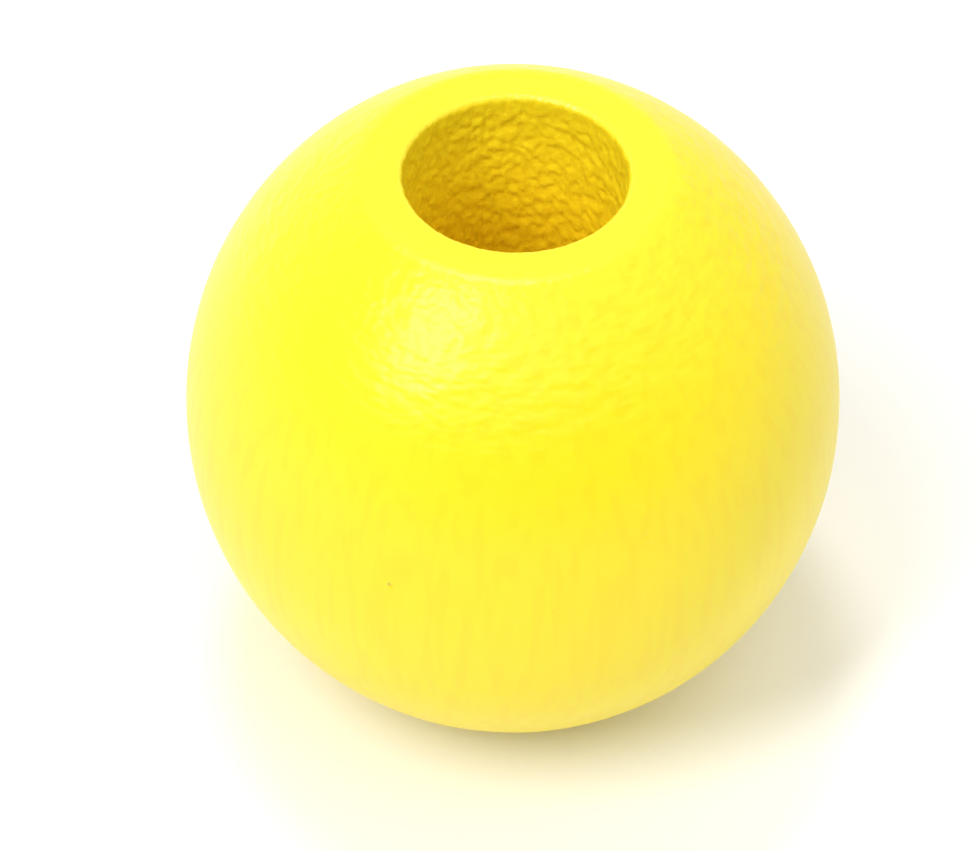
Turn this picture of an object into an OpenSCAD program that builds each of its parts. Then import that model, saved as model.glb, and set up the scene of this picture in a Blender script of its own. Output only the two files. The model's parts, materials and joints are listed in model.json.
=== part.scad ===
// Turned wooden bead with a straight cord hole and two flat ends.
// The hole runs along Z, and the origin is the middle of the bead.

/* [Body] */
// Largest diameter, which is that of the belt
body_d = 30; // [24:0.5:40]
// Length along the hole, from one flat end to the other
body_len = 28.2; // [20:0.1:36]
// Height of the narrow straight belt that the round stock leaves at the middle
belt_len = 0.2; // [0.1:0.1:3]

/* [Ends] */
// Diameter of a flat end, measured to where its edge would be sharp
face_d = 13.5; // [12.5:0.1:18]
// Radius that softens the edge between a flat end and the round side
face_edge_r = 0.6; // [0.2:0.1:1.2]

/* [Cord hole] */
// Diameter of the hole
bore_d = 10; // [4:0.5:11]
// Radius that softens the mouth of the hole at both ends
mouth_edge_r = 0.3; // [0.1:0.1:0.6]

/* [Hidden] */

// Segments in a full circle
$fn = 120;
// How far a rounding's circle reaches past the faces that it joins, so that it crosses them cleanly
hair = 0.0002;

body_r = body_d / 2;
half_len = body_len / 2;
half_belt = belt_len / 2;
face_r = face_d / 2;
bore_r = bore_d / 2;

// The side rises from the belt in one arc, upright at the belt, to the sharp edge of the flat end
side_in = body_r - face_r;
side_up = half_len - half_belt;
side_r = (side_in * side_in + side_up * side_up) / (2 * side_in);
side_x = body_r - side_r;

// The edge rounding touches the side arc and the flat end from within
edge_z = half_len - face_edge_r;
edge_x = side_x + sqrt(pow(side_r - face_edge_r, 2) - pow(edge_z - half_belt, 2));
edge_start = atan2(edge_z - half_belt, edge_x - side_x);

// The mouth rounding touches the flat end and the wall of the hole
mouth_x = bore_r + mouth_edge_r;
mouth_z = half_len - mouth_edge_r;

// Unit direction at an angle above the X axis
function heading(angle) = [cos(angle), sin(angle)];

// The wood that a rounding takes off a corner, between two directions out of its centre
module corner_waste(centre, r, start, end) {
    side = 2 * r;
    tip = side / cos((end - start) / 2);
    translate(centre)
        difference() {
            polygon([[0, 0], side * heading(start), tip * heading((start + end) / 2), side * heading(end)]);
            circle(r = r + hair);
        }
}

// Everything that is taken off the corners of the upper end
module end_waste() {
    corner_waste([edge_x, edge_z], face_edge_r, edge_start, 90);
    corner_waste([mouth_x, mouth_z], mouth_edge_r, 90, 180);
}

// Outline of the upper half, from the axis outwards, with sharp corners
module upper_outline() {
    square([body_r, half_belt]);
    intersection() {
        translate([side_x, half_belt])
            circle(r = side_r);
        translate([0, half_belt])
            square([body_r, side_up]);
    }
}

// Section of the wood on one side of the axis
module half_section() {
    difference() {
        union() {
            upper_outline();
            mirror([0, 1])
                upper_outline();
        }
        translate([0, -half_len])
            square([bore_r, body_len]);
        end_waste();
        mirror([0, 1])
            end_waste();
    }
}

// The bead, turned in one piece
module bead() {
    color("gold")
        rotate_extrude()
            half_section();
}

bead();
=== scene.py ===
import json
import math

import bmesh
import bpy
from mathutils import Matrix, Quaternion, Vector, noise


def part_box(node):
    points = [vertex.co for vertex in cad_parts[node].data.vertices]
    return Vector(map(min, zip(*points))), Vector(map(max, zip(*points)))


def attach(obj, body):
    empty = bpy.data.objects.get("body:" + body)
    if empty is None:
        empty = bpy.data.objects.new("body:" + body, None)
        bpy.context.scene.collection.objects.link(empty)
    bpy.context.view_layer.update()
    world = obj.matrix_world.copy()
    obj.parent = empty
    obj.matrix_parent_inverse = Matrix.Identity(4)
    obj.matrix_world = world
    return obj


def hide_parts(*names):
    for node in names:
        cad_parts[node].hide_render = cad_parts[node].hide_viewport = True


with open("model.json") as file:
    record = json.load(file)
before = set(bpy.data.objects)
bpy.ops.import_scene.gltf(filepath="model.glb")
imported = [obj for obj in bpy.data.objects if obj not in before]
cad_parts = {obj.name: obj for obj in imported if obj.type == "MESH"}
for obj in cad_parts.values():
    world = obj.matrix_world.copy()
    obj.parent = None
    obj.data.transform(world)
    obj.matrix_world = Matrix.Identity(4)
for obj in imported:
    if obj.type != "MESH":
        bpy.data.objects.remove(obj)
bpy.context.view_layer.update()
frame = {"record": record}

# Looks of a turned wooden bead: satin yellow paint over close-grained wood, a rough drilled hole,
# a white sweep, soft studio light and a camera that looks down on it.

MM = 0.001

# Sizes in millimetres, from the frame
CORD_HOLE = next(m for m in frame["record"]["mounts"] if m["name"] == "cord_hole")
BODY_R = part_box("bead")[1].x / MM
HALF_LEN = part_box("bead")[1].z / MM
BORE_R = CORD_HOLE["dims"]["r_mm"]
MOUTH_EDGE_R = HALF_LEN - CORD_HOLE["dims"]["length_mm"] / 2

# Sizes in millimetres, as in the part's source
HALF_BELT = 0.1
FACE_R = 6.75
# The paint rounds the edge of the flat end more than the wood under it is rounded
FACE_EDGE_R = 1.2

# The side arc, from the belt to the sharp edge of the flat end
SIDE_IN = BODY_R - FACE_R
SIDE_UP = HALF_LEN - HALF_BELT
SIDE_R = (SIDE_IN**2 + SIDE_UP**2) / (2 * SIDE_IN)
SIDE_X = BODY_R - SIDE_R
EDGE_Z = HALF_LEN - FACE_EDGE_R
EDGE_X = SIDE_X + math.sqrt((SIDE_R - FACE_EDGE_R) ** 2 - (EDGE_Z - HALF_BELT) ** 2)
EDGE_START = math.atan2(EDGE_Z - HALF_BELT, EDGE_X - SIDE_X)

# How finely the surface is laid out: steps round the hole, and millimetres along the section
SEGMENTS = 288
SIDE_STEP = 0.3
EDGE_STEP = 0.08
FLAT_STEP = 0.12
BORE_STEP = 0.14
# The middle of the hole is hardly seen, so up to the height DEEP it is laid out more widely
DEEP_STEP = 0.3
DEEP = 3.2

# The drilled wall: its paint, and how far its lumps, flakes and crumbs stand out, in millimetres
WALL_PAINT = 0.08
LUMP_HEIGHT = 0.04
FLAKE_HEIGHT = 0.045
CRUMB_HEIGHT = 0.04
# How often each comes in a millimetre, how steep the flakes' edges are, and where the noise is read
LUMP_RATE = 1.2
FLAKE_RATE = 3.3
FLAKE_EDGE = 6
FLAKE_FROM = Vector((5, 3, 1))
CRUMB_RATE = 5.2
CRUMB_FROM = Vector((2, 7, 4))
# All three are drawn out along the hole, and warped so that they don't line up
WALL_STRETCH = 0.7
WARP_RATE = 1.6
WARP_REACH = 0.3
# The warp is vector noise, which starts at a random place unless it has a seed
WARP_SEED = 1
# The wall's share of roughness at the mouth, and the depth in millimetres over which it grows by 1
CALM_MOUTH = 0.15
CALM_DEPTH = 1.3

# The turned side and the flat ends, in millimetres
SIDE_WAVE = 0.012
SIDE_WAVE_LENGTH = 3.0
FLAT_WAVE = 0.006
FLAT_WAVE_LENGTH = 1.3
GROOVE_DEPTH = 0.02
GROOVE_R = 6.28
GROOVE_WIDTH = 0.1
# How far upwards a place faces where the flat end starts, and outwards where the side's waves are full
FLAT_FROM = 0.87
SIDE_FULL = 0.5

# The pinhole in the side: azimuth and height of its place, radius, depth and the width of its slope
PIT_AZIMUTH = math.radians(-111.06)
PIT_HEIGHT = 2.71
PIT_R = 0.06
PIT_DEPTH = 0.03
PIT_SLOPE = 0.02

# Faint marks in the side: azimuth, height, half width, half length and how far each stands out
MARKS = (
    (math.radians(-89.7), 1.3, 0.16, 0.55, -0.02),
    (math.radians(-66.4), 5.1, 0.26, 0.28, -0.025),
    (math.radians(-83.5), 2.16, 0.14, 0.16, 0.03),
)

# Noise in the paint: how fast it changes along the hole against round it, how often it changes in a
# millimetre, and for the torn wall its detail and roughness
FIBRES = (0.09, 3.6)
STREAKS = (0.11, 1.7)
TORN = (0.7, 4.6, 2.0, 0.6)
PEEL_RATE = 3.0

# How far that noise stands out, in millimetres
FIBRE_DEPTH = 0.004
STREAK_DEPTH = 0.009
TORN_DEPTH = 0.05
PEEL_DEPTH = 0.003

# The lathe's bands and dents: how often they change round the bead and along its side, and how far
# they stand out, with the heights between which they come in
LATHE_BANDS = (5, 2.0, 0.03)
LATHE_DENTS = (11, 1.7, 0.10)
LATHE_DETAIL = 1.0
SHOULDER = (6.5, 11.5)

# Distances from the hole's middle between which the paint turns into the hole's and the side's
INTO_BORE = (BORE_R + 0.25, BORE_R + 0.05)
ONTO_SIDE = (FACE_R - 0.3, FACE_R + 0.6)

# Heights over which painted shade darkens the hole's colour downwards, and how much the mouth and the
# raised flakes each lift that colour out of the painted shade
HOLE_SHADE_HEIGHTS = (4.5, 13.5)
MOUTH_LIGHT_SHARE = 0.6
FLAKE_LIGHT_SHARE = 0.4

# Levels of the noise between which streaks turn deeper and fibres paler, and how pale fibres get
DEEP_STREAKS = (0.4, 0.75)
PALE_FIBRES = (0.55, 0.8)
PALE_SHARE = 0.35

# Colours, as linear red, green and blue
PAINT = (0.99, 0.80, 0.006)
PAINT_DEEP = (0.985, 0.765, 0.005)
PAINT_PALE = (0.99, 0.825, 0.012)
# The hole's paint, and below it a darker, more orange colour that paints the shade deep in the hole and
# between its flakes
BORE_PAINT = (1.0, 0.85, 0.020)
BORE_PAINTED_SHADE = (1.0, 0.68, 0.008)
# Painted shade of the pinhole
PIT_PAINTED_SHADE = (0.72, 0.55, 0.012)
# Colours of the room, with their opacity, and how far the floor reaches each way in metres
SWEEP = (0.95, 0.95, 0.95, 1)
WHITE = (1, 1, 1, 1)
FLOOR_REACH = 3.0

# Gloss of the paint: its roughness varies by FIBRE_MATT with the fibres, and is less in the hole
PAINT_IOR = 1.5
PAINT_ROUGHNESS = 0.36
FIBRE_MATT = 0.08
BORE_GLOSS = 0.06

# Camera: angles, lens and sensor in millimetres, and the rest in metres
CAMERA_ELEVATION = math.radians(45.9)
CAMERA_ROLL = math.radians(0.47)
CAMERA_DISTANCE = 0.165
CAMERA_LENS = 131.4
CAMERA_SENSOR = 36.0
AIM_RIGHT = -0.001035
AIM_UP = -0.001185
CLIP_START = 0.01
CLIP_END = 20

# Room: soft sides as azimuth from the front towards the right, elevation, sharpness and strength
BACK_WALL = (180, 15, 5.0, 1.0)
BACK_LEFT = (225, 15, 5.0, 0.8)
RIGHT_SIDE = (90, 50, 5.0, 1.2)
FRONT_BOX = (0, 54, 12.0, 2.15)
# What gloss shows of the room: a white page that is dim where the photographer stands
PAGE = 1.0
DIM_FRONT = (12, 25, 2.0, -0.88)

# Lamps: a level of 1 alone would render a colour as it is written
LIGHT_DISTANCE = 0.5
KEY_LEVEL = 0.56
KEY_FROM = (-0.50, -0.44, 0.85)
KEY_SIZE = (0.14, 0.36)
TOP_LEVEL = 0.27
TOP_FROM = (-0.10, 0.28, 0.95)
TOP_SIZE = (0.14, 0.06)


def arc(centre, radius, start, end, step):
    """Points of an arc as (r, z, outward r, outward z), without its last point."""
    count = max(2, round(abs(end - start) * radius / step))
    angles = [start + (end - start) * i / count for i in range(count)]
    return [
        (centre[0] + radius * math.cos(a), centre[1] + radius * math.sin(a), math.cos(a), math.sin(a))
        for a in angles
    ]


def line(start, end, outward, step):
    """Points of a straight stretch, without its last point."""
    count = max(1, round(math.dist(start, end) / step))
    shares = [i / count for i in range(count)]
    return [
        (start[0] + (end[0] - start[0]) * s, start[1] + (end[1] - start[1]) * s, *outward)
        for s in shares
    ]


def upper_profile():
    """The upper half of the section, from the middle of the hole over the flat end to the belt."""
    quarter = math.pi / 2
    mouth = (BORE_R + MOUTH_EDGE_R, HALF_LEN - MOUTH_EDGE_R)
    points = line((BORE_R, 0), (BORE_R, DEEP), (-1, 0), DEEP_STEP)
    points += line((BORE_R, DEEP), (BORE_R, mouth[1]), (-1, 0), BORE_STEP)
    points += arc(mouth, MOUTH_EDGE_R, 2 * quarter, quarter, EDGE_STEP)
    points += line((mouth[0], HALF_LEN), (EDGE_X, HALF_LEN), (0, 1), FLAT_STEP)
    points += arc((EDGE_X, EDGE_Z), FACE_EDGE_R, quarter, EDGE_START, EDGE_STEP)
    points += arc((SIDE_X, HALF_BELT), SIDE_R, EDGE_START, 0, SIDE_STEP)
    points += line((BODY_R, HALF_BELT), (BODY_R, 0), (1, 0), SIDE_STEP)
    return points


def whole_profile():
    """The closed section: the upper half, then its mirror image from the belt back to the hole."""
    upper = upper_profile()
    belt = [(BODY_R, 0, 1, 0)]
    lower = [(r, -z, out_r, -out_z) for r, z, out_r, out_z in reversed(upper[1:])]
    return upper + belt + lower


def torn_wall(place):
    """Unevenness of the drilled wall: lumps, crumbs, and flakes of torn wood with steep edges."""
    spot = Vector((place.x, place.y, place.z * WALL_STRETCH))
    spot += noise.noise_vector(spot * WARP_RATE) * WARP_REACH
    lump = noise.noise(spot * LUMP_RATE)
    flake = math.tanh(FLAKE_EDGE * noise.noise(spot * FLAKE_RATE + FLAKE_FROM))
    crumb = noise.noise(spot * CRUMB_RATE + CRUMB_FROM)
    return LUMP_HEIGHT * lump + FLAKE_HEIGHT * flake + CRUMB_HEIGHT * crumb


def flat_end(place):
    """Unevenness of a flat end, all of it below the plane, with a faint groove by its edge."""
    wave = 0.5 + 0.5 * noise.noise(place / FLAT_WAVE_LENGTH)
    groove = math.exp(-(((math.hypot(place.x, place.y) - GROOVE_R) / GROOVE_WIDTH) ** 2))
    return -FLAT_WAVE * wave - GROOVE_DEPTH * groove


def relief(place, out_r, out_z):
    """How far the surface stands out at a place of the plain form, in millimetres."""
    height = flat_end(place) * max(0, abs(out_z) - FLAT_FROM) / (1 - FLAT_FROM)
    if out_r < 0:
        rough = min(1, CALM_MOUTH + (HALF_LEN - abs(place.z)) / CALM_DEPTH)
        height += (WALL_PAINT + rough * torn_wall(place)) * out_r**2
    else:
        height += SIDE_WAVE * noise.noise(place / SIDE_WAVE_LENGTH) * min(1, out_r / SIDE_FULL)
    return height


def bead_rows(mesh, section):
    """Rows of vertices: the uneven section at each step round the hole."""
    rows = []
    for i in range(SEGMENTS):
        turn = math.tau * i / SEGMENTS
        c, s = math.cos(turn), math.sin(turn)
        row = []
        for r, z, out_r, out_z in section:
            place = Vector((r * c, r * s, z))
            outward = Vector((out_r * c, out_r * s, out_z))
            row.append(mesh.verts.new((place + outward * relief(place, out_r, out_z)) * MM))
        rows.append(row)
    return rows


def skin(mesh, rows):
    """Faces from each row of vertices to the next one round."""
    for here, there in zip(rows, rows[1:] + rows[:1]):
        for corners in zip(here, here[1:] + here[:1], there[1:] + there[:1], there):
            mesh.faces.new(corners)


def pit_face(mesh, section):
    """The face of the side that the pinhole goes into."""
    column = int(PIT_AZIMUTH % math.tau / math.tau * SEGMENTS)
    below = next(j for j, (_, z, out_r, _) in enumerate(section) if out_r > 0 and z < PIT_HEIGHT)
    mesh.faces.ensure_lookup_table()
    return mesh.faces[column * len(section) + below - 1]


def sink_pit(mesh, face):
    """A round pinhole in one face of the side."""
    centre = face.calc_center_median()
    reach = min(edge.calc_length() for edge in face.edges) / 2
    bmesh.ops.inset_individual(mesh, faces=[face], thickness=reach - PIT_R * MM)
    bmesh.ops.subdivide_edges(mesh, edges=list(face.edges), cuts=2)
    for vert in face.verts:
        vert.co = centre + (vert.co - centre).normalized() * PIT_R * MM
    bmesh.ops.inset_individual(mesh, faces=[face], thickness=PIT_SLOPE * MM, depth=-PIT_DEPTH * MM)


def bead_mesh():
    """The turned form with its unevenness and its pinhole."""
    noise.seed_set(WARP_SEED)
    section = whole_profile()
    mesh = bmesh.new()
    skin(mesh, bead_rows(mesh, section))
    mesh.normal_update()
    sink_pit(mesh, pit_face(mesh, section))
    for face in mesh.faces:
        face.smooth = True
    return mesh


def side_place(azimuth, height):
    """The place on the plain side at an azimuth and a height, in millimetres."""
    r = SIDE_X + math.sqrt(SIDE_R**2 - (abs(height) - HALF_BELT) ** 2)
    return (r * math.cos(azimuth), r * math.sin(azimuth), height)


def add_object(name, data):
    """A new object in the scene."""
    thing = bpy.data.objects.new(name, data)
    bpy.context.scene.collection.objects.link(thing)
    return thing


def add_piece(name, mesh, material):
    """A new object made of a finished mesh and its material."""
    data = bpy.data.meshes.new(name)
    mesh.to_mesh(data)
    mesh.free()
    data.materials.append(material)
    return add_object(name, data)


def add_aimed(name, data, location, rotation):
    """A new lamp or camera at its place."""
    thing = add_object(name, data)
    thing.location = location
    thing.rotation_mode = "QUATERNION"
    thing.rotation_quaternion = rotation
    return thing


class Graph:
    """Short hand for building a node tree."""

    def __init__(self, tree):
        self.tree = tree
        tree.nodes.clear()

    def add(self, kind, inputs=None, **settings):
        """A node with its settings, and its inputs set to values or linked to other nodes' sockets."""
        node = self.tree.nodes.new(kind)
        for name, value in settings.items():
            setattr(node, name, value)
        for name, value in (inputs or {}).items():
            if isinstance(value, bpy.types.NodeSocket):
                self.tree.links.new(value, node.inputs[name])
            else:
                node.inputs[name].default_value = value
        return node

    def math(self, operation, *values):
        """The result of a sum on numbers or sockets."""
        return self.add("ShaderNodeMath", dict(enumerate(values)), operation=operation).outputs[0]

    def vector(self, operation, *values):
        """The vector that comes of a sum on vectors or sockets."""
        return self.add("ShaderNodeVectorMath", dict(enumerate(values)), operation=operation).outputs[0]

    def number(self, operation, *values):
        """The number that comes of a sum on vectors or sockets."""
        return self.add("ShaderNodeVectorMath", dict(enumerate(values)), operation=operation).outputs[1]

    def blur(self, value, low, high, start=0.0, end=1.0):
        """From start at low to end at high, and smooth in between."""
        inputs = {"Value": value, "From Min": low, "From Max": high, "To Min": start, "To Max": end}
        return self.add("ShaderNodeMapRange", inputs, interpolation_type="SMOOTHSTEP").outputs[0]

    def noise(self, vector, scale, detail=0.0, roughness=0.5):
        """Soft noise from 0 to 1."""
        inputs = {"Vector": vector, "Scale": scale, "Detail": detail, "Roughness": roughness}
        return self.add("ShaderNodeTexNoise", inputs).outputs[0]

    def mix(self, share, a, b):
        """A colour between a and b."""
        node = self.add("ShaderNodeMix", data_type="RGBA")
        # The sockets for colours go by number, because their names come more than once
        for index, value in ((0, share), (6, a), (7, b)):
            if isinstance(value, bpy.types.NodeSocket):
                self.tree.links.new(value, node.inputs[index])
            else:
                node.inputs[index].default_value = (*value, 1) if index else value
        return node.outputs[2]


class Paint(Graph):
    """Satin yellow paint that follows the wood's grain, the lathe's lines and the torn wall of the hole."""

    def __init__(self, tree):
        super().__init__(tree)
        metres = self.add("ShaderNodeTexCoord").outputs["Object"]
        self.place = self.vector("MULTIPLY", metres, (1 / MM, 1 / MM, 1 / MM))
        self.radius = self.number("LENGTH", self.vector("MULTIPLY", self.place, (1, 1, 0)))
        self.height = self.add("ShaderNodeSeparateXYZ", {0: self.place}).outputs[2]
        self.in_bore = self.blur(self.radius, *INTO_BORE)
        self.on_side = self.blur(self.radius, *ONTO_SIDE)
        # Grain runs along the hole: streaks on the belly, dots where the shoulders cut it
        self.fibres = self.grain(*FIBRES)
        self.streaks = self.grain(*STREAKS)
        self.torn = self.grain(*TORN)

    def grain(self, stretch, rate, *detail):
        """Noise that is drawn out along the hole."""
        return self.noise(self.vector("MULTIPLY", self.place, (1, 1, stretch)), rate, *detail)

    def lathe(self):
        """Bands and dents in millimetres that follow the lathe's lines round the shoulders."""
        around = self.vector("NORMALIZE", self.vector("MULTIPLY", self.place, (1, 1, 0)))
        spread = self.math("ARCTAN2", self.height, self.math("SUBTRACT", self.radius, SIDE_X))
        along = self.math("MULTIPLY", spread, SIDE_R)
        total = 0.0
        for round_rate, along_rate, depth in (LATHE_BANDS, LATHE_DENTS):
            rise = self.math("MULTIPLY", along, along_rate)
            shift = self.add("ShaderNodeCombineXYZ", {2: rise}).outputs[0]
            turned = self.vector("MULTIPLY", around, (round_rate, round_rate, 0))
            bands = self.noise(self.vector("ADD", turned, shift), 1.0, LATHE_DETAIL)
            total = self.math("MULTIPLY_ADD", bands, depth, total)
        shoulder = self.blur(self.math("ABSOLUTE", self.height), *SHOULDER)
        return self.math("MULTIPLY", total, shoulder)

    def marks(self):
        """The faint marks in the side, in millimetres."""
        total = 0.0
        for azimuth, height, wide, long, depth in MARKS:
            offset = self.vector("SUBTRACT", self.place, side_place(azimuth, height))
            reach = self.number("LENGTH", self.vector("DIVIDE", offset, (wide, wide, long)))
            total = self.math("ADD", total, self.blur(reach, 1.0, 0.0, 0.0, depth))
        return total

    def bump(self):
        """The normals of the relief that is too fine for the mesh."""
        side = self.math("MULTIPLY_ADD", self.fibres, FIBRE_DEPTH, self.lathe())
        side = self.math("MULTIPLY_ADD", self.streaks, STREAK_DEPTH, side)
        total = self.math("MULTIPLY_ADD", side, self.on_side, self.marks())
        total = self.math("MULTIPLY_ADD", self.noise(self.place, PEEL_RATE), PEEL_DEPTH, total)
        torn = self.math("MULTIPLY", self.torn, self.in_bore)
        total = self.math("MULTIPLY_ADD", torn, TORN_DEPTH, total)
        return self.add("ShaderNodeBump", {"Strength": 1.0, "Distance": MM, "Height": total}).outputs[0]

    def colour(self):
        """Yellow with deeper streaks and paler fibres; painted shade makes the hole darker and more orange
        downwards and between its flakes, and darkens the pinhole.
        """
        colour = self.mix(self.blur(self.streaks, *DEEP_STREAKS), PAINT, PAINT_DEEP)
        pale = self.math("MULTIPLY", self.blur(self.fibres, *PALE_FIBRES), PALE_SHARE)
        colour = self.mix(pale, colour, PAINT_PALE)
        # Painted shade: the hole turns darker and more orange downwards and where its flakes sink in, and
        # lighter by the mouth
        lit_share = self.blur(self.math("ABSOLUTE", self.height), *HOLE_SHADE_HEIGHTS, 0.0, MOUTH_LIGHT_SHARE)
        lit_share = self.math("MULTIPLY_ADD", self.torn, FLAKE_LIGHT_SHARE, lit_share)
        colour = self.mix(self.in_bore, colour, self.mix(lit_share, BORE_PAINTED_SHADE, BORE_PAINT))
        # Painted shade darkens the pinhole
        from_pit = self.number("DISTANCE", self.place, side_place(PIT_AZIMUTH, PIT_HEIGHT))
        return self.mix(self.blur(from_pit, 2 * PIT_R, PIT_R), colour, PIT_PAINTED_SHADE)

    def roughness(self):
        """Satin, a little more matt along the fibres and a little glossier in the hole."""
        rough = self.math("MULTIPLY_ADD", self.fibres, FIBRE_MATT, PAINT_ROUGHNESS - FIBRE_MATT / 2)
        return self.math("MULTIPLY_ADD", self.in_bore, -BORE_GLOSS, rough)


def paint_material():
    """The bead's paint, with its bump, colour and roughness."""
    material = bpy.data.materials.new("yellow_paint")
    material.use_nodes = True
    g = Paint(material.node_tree)
    looks = {"Base Color": g.colour(), "Roughness": g.roughness(), "IOR": PAINT_IOR, "Normal": g.bump()}
    shader = g.add("ShaderNodeBsdfPrincipled", looks)
    g.add("ShaderNodeOutputMaterial", {"Surface": shader.outputs[0]})
    return material


def make_bead():
    """The painted bead, which stands for the plain solid."""
    bead = add_piece("painted_bead", bead_mesh(), paint_material())
    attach(bead, "root")
    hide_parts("bead")


def floor_material():
    """White sweep that keeps the bead's shadow and is clear from below."""
    material = bpy.data.materials.new("white_sweep")
    material.use_nodes = True
    g = Graph(material.node_tree)
    above = g.add("ShaderNodeBsdfDiffuse", {"Color": SWEEP}).outputs[0]
    below = g.add("ShaderNodeBsdfTransparent", {"Color": WHITE}).outputs[0]
    side = g.add("ShaderNodeNewGeometry").outputs["Backfacing"]
    shader = g.add("ShaderNodeMixShader", {0: side, 1: above, 2: below})
    g.add("ShaderNodeOutputMaterial", {"Surface": shader.outputs[0]})
    return material


def make_floor():
    """A wide floor at the height that the bead stands on."""
    mesh = bmesh.new()
    bmesh.ops.create_grid(mesh, x_segments=1, y_segments=1, size=FLOOR_REACH)
    bmesh.ops.translate(mesh, verts=mesh.verts, vec=(0, 0, -HALF_LEN * MM))
    add_piece("floor", mesh, floor_material())


def heading(azimuth, elevation):
    """Unit vector from the bead, with the azimuth in degrees from the front towards the right."""
    a, e = math.radians(azimuth), math.radians(elevation)
    return (math.cos(e) * math.sin(a), -math.cos(e) * math.cos(a), math.sin(e))


def room_side(g, direction, side, rest):
    """The brightness towards a direction: the rest of the room with a soft side added."""
    azimuth, elevation, sharpness, strength = side
    facing = g.math("MAXIMUM", g.number("DOT_PRODUCT", direction, heading(azimuth, elevation)), 0.0)
    return g.math("MULTIPLY_ADD", g.math("POWER", facing, sharpness), strength, rest)


def make_world():
    """A studio whose soft sides light the bead, with a white page for the camera, gloss and glass."""
    world = bpy.data.worlds.new("white_room")
    bpy.context.scene.world = world
    world.use_nodes = True
    g = Graph(world.node_tree)
    direction = g.add("ShaderNodeTexCoord").outputs["Generated"]
    level = 0.0
    for side in (BACK_WALL, BACK_LEFT, RIGHT_SIDE, FRONT_BOX):
        level = room_side(g, direction, side, level)
    rays = g.add("ShaderNodeLightPath").outputs
    through = g.math("MAXIMUM", rays["Is Camera Ray"], rays["Is Transmission Ray"])
    page_level = g.math("MAXIMUM", through, room_side(g, direction, DIM_FRONT, PAGE))
    room = g.add("ShaderNodeBackground", {"Color": WHITE, "Strength": level}).outputs[0]
    page = g.add("ShaderNodeBackground", {"Color": WHITE, "Strength": page_level}).outputs[0]
    on_page = g.math("MAXIMUM", through, rays["Is Glossy Ray"])
    shader = g.add("ShaderNodeMixShader", {0: on_page, 1: room, 2: page})
    g.add("ShaderNodeOutputWorld", {"Surface": shader.outputs[0]})


def make_lamp(name, source, level, size):
    """A soft oval lamp, whose level is a share of the light at which a colour renders as written."""
    data = bpy.data.lights.new(name, "AREA")
    data.shape = "ELLIPSE"
    data.size, data.size_y = size
    data.energy = level * math.pi**2 * LIGHT_DISTANCE**2
    direction = Vector(source).normalized()
    add_aimed(name, data, direction * LIGHT_DISTANCE, direction.to_track_quat("Z", "Y"))


def make_camera():
    """The photograph's view, which looks down at the flat end."""
    back = Vector((0, -math.cos(CAMERA_ELEVATION), math.sin(CAMERA_ELEVATION)))
    right = Vector((1, 0, 0))
    up = back.cross(right)
    data = bpy.data.cameras.new("camera")
    data.sensor_width = CAMERA_SENSOR
    data.lens = CAMERA_LENS
    data.clip_start = CLIP_START
    data.clip_end = CLIP_END
    location = right * AIM_RIGHT + up * AIM_UP + back * CAMERA_DISTANCE
    rotation = Quaternion(back, CAMERA_ROLL) @ back.to_track_quat("Z", "Y")
    bpy.context.scene.camera = add_aimed("camera", data, location, rotation)


make_camera()
make_bead()
make_floor()
make_world()
make_lamp("key_light", KEY_FROM, KEY_LEVEL, KEY_SIZE)
make_lamp("top_light", TOP_FROM, TOP_LEVEL, TOP_SIZE)
bpy.context.scene.view_settings.view_transform = "Standard"
